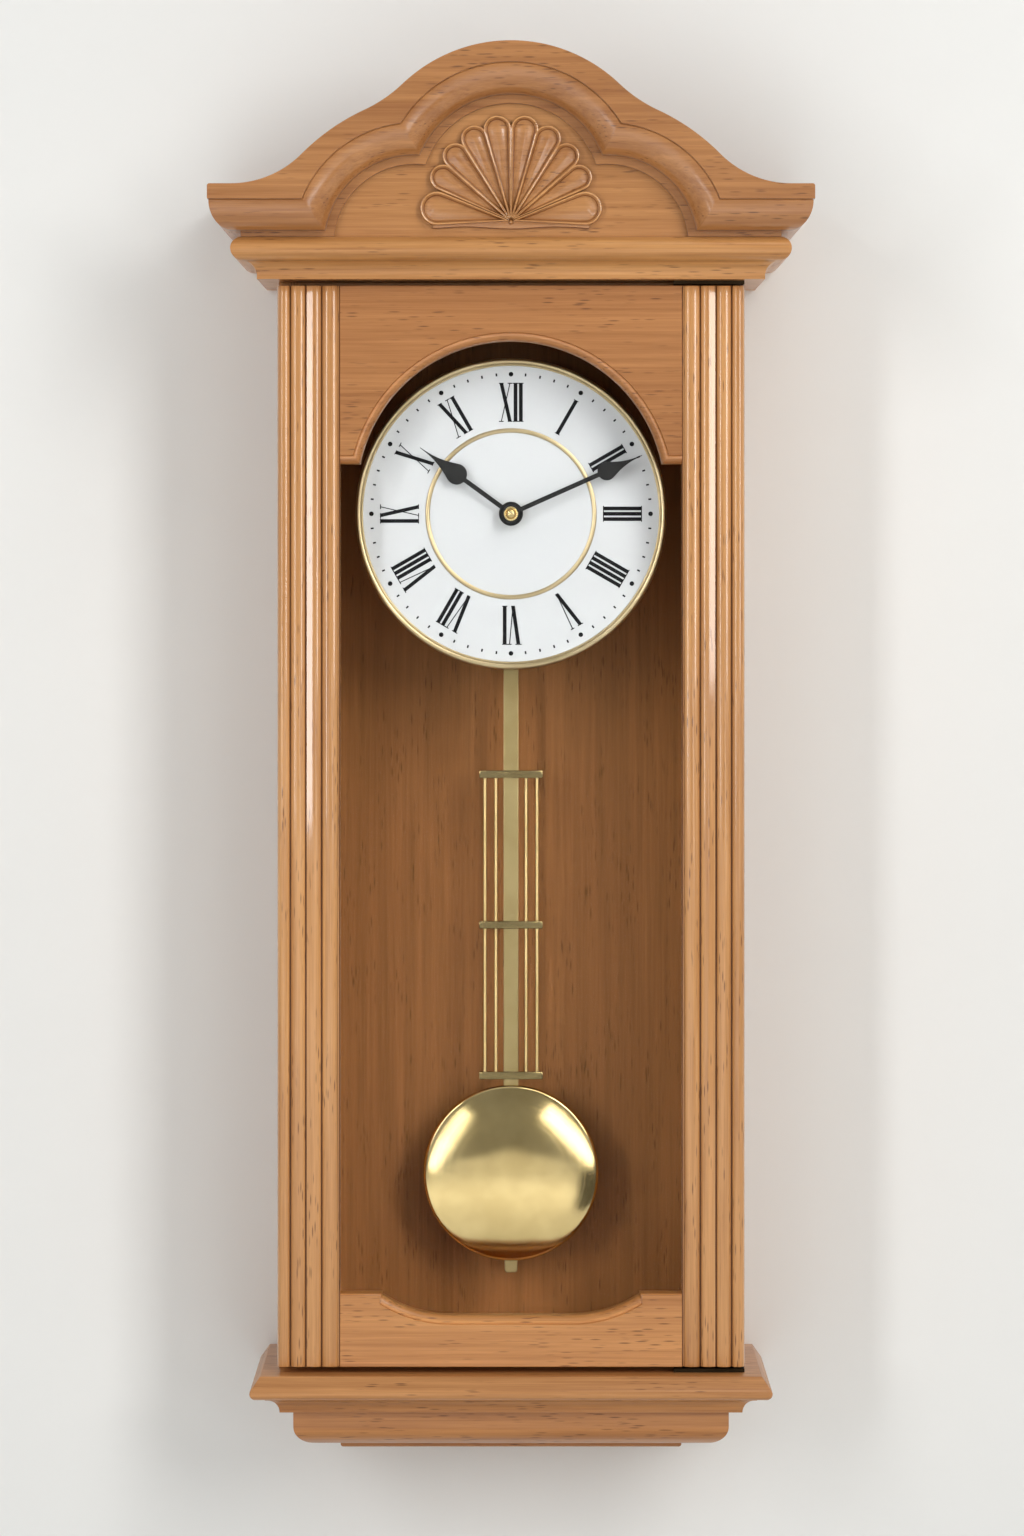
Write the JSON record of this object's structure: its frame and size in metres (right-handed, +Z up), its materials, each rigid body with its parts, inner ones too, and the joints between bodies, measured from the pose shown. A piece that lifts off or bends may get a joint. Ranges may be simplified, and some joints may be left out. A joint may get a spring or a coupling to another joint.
{
  "type": "pendulum wall clock",
  "caption": "Wall clock in a glazed wooden case with a carved crown, a numeral dial, turning hands and a swinging pendulum.",
  "frame": {"origin": "centre of the round entry of the keyhole hanger, on the wall plane", "axes": "X to the clock's right as seen from the front, +Y into the wall, the front faces -Y, Z up"},
  "size_m": [0.2556, 0.1171, 0.6],
  "materials": {
    "case_wood": "satin lacquer, honey oak",
    "door_wood": "satin lacquer, honey oak",
    "crown_wood": "satin lacquer, honey oak",
    "carved_wood": "satin lacquer over carving",
    "back_wood": "thin matt lacquer on veneered board",
    "inner_wood": "bare softwood",
    "pane": "clear float glass",
    "polished_brass": "polished and lacquered",
    "brass_works": "machined",
    "zinc_steel": "zinc plated",
    "copper_wire": "enamelled wire",
    "dial_white": "satin white enamel",
    "dial_black": "printed ink",
    "hand_black": "satin black",
    "black_plastic": "moulded",
    "white_plastic": "moulded acetal",
    "board_green": "solder mask",
    "cell_wrap": "plain wrap with a metal end",
    "magnet_dark": "ferrite"
  },
  "bodies": {
    "case": {"backboard": "back_wood", "left_side": "case_wood", "right_side": "case_wood", "top_board": "case_wood", "bottom_board": "case_wood", "cornice": "case_wood", "base_shelf": "case_wood", "cove_board": "case_wood", "apron_block": "case_wood", "bottom_strip": "case_wood", "pediment_frame": "crown_wood", "tympanum_board": "crown_wood", "shell_carving": "carved_wood", "crown_returns": "crown_wood", "glue_blocks": "inner_wood", "hanger_plate": "zinc_steel", "hanger_screws": "zinc_steel", "case_hinge_plates": "brass_works", "case_hinge_screws": "brass_works", "hinge_washer": "brass_works", "catch_magnet": "magnet_dark", "dial_supports": "inner_wood", "dial_board": "inner_wood", "dial_board_screws": "zinc_steel", "dial_plate": "dial_white", "bezel": "polished_brass", "chapter_ring": "polished_brass", "dial_numerals": "dial_black", "movement_case": "black_plastic", "movement_cover": "black_plastic", "fixing_nut": "brass_works", "motor_unit": "black_plastic", "circuit_board": "board_green", "drive_coil": "copper_wire", "battery": "cell_wrap", "battery_contacts": "zinc_steel", "pendulum_pin": "zinc_steel"},
    "door": {"left_stile": "door_wood", "right_stile": "door_wood", "top_rail": "door_wood", "bottom_rail": "door_wood", "door_glass": "pane", "glass_beads": "inner_wood", "door_hinge_plates": "brass_works", "door_hinge_screws": "brass_works", "strike_plate": "zinc_steel"},
    "minute": {"minute_arbor": "brass_works", "minute_hand": "hand_black", "cap_nut": "polished_brass"},
    "hour": {"hour_wheel": "brass_works", "hour_hand": "hand_black"},
    "setting": {"minute_wheel": "brass_works", "setting_knob": "black_plastic"},
    "pendulum": {"pendulum_arm": "white_plastic", "drive_magnet": "magnet_dark", "pendulum_rod": "polished_brass", "crossbars": "polished_brass", "gridiron_rods": "polished_brass", "bob_front": "polished_brass", "bob_back": "polished_brass"}
  },
  "joints": [
    {"name": "door_hinge", "type": "hinge", "parent": "case", "child": "door", "pos_m": [0.0965, -0.0795, -0.2], "axis": [0, 0, 1], "range_deg": [0, 110]},
    {"name": "minute_spin", "type": "hinge", "parent": "case", "child": "minute", "pos_m": [0, -0.06, -0.0722], "axis": [0, 1, 0], "continuous": true},
    {"name": "hour_spin", "type": "hinge", "parent": "case", "child": "hour", "pos_m": [0, -0.06, -0.0722], "axis": [0, 1, 0], "continuous": true},
    {"name": "setting_spin", "type": "hinge", "parent": "case", "child": "setting", "pos_m": [0.0096, -0.04, -0.0722], "axis": [0, 1, 0], "continuous": true},
    {"name": "pendulum_swing", "type": "hinge", "parent": "case", "child": "pendulum", "pos_m": [0, -0.028, -0.0882], "axis": [0, 1, 0], "range_deg": [-5, 5]}
  ],
  "couplings": [
    {"joint": "hour_spin", "follows": "minute_spin", "ratio": 0.083333},
    {"joint": "setting_spin", "follows": "minute_spin", "ratio": -0.33333}
  ]
}
